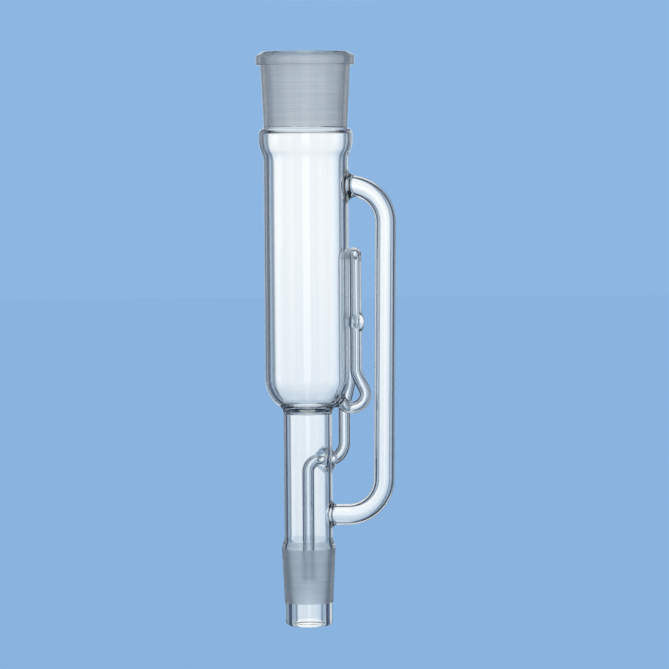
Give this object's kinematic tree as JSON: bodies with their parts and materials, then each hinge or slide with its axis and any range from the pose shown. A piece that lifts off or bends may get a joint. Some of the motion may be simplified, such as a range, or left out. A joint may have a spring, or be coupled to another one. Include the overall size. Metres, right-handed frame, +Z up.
{
  "type": "soxhlet extractor",
  "caption": "Glass extraction chamber with a ground socket on top, a side vapour tube, a siphon and a ground cone below.",
  "frame": {"origin": "on the axis of the chamber, in the plane of the ground cone's wide end", "axes": "+Z up along the chamber's axis, +X towards the vapour tube, +Y towards the siphon's down leg"},
  "size_m": [0.0888, 0.063, 0.3671],
  "materials": {
    "borosilicate_glass": "clear, flame-polished, with ground joints"
  },
  "bodies": {
    "root": {"extractor": "borosilicate_glass"}
  },
  "joints": []
}
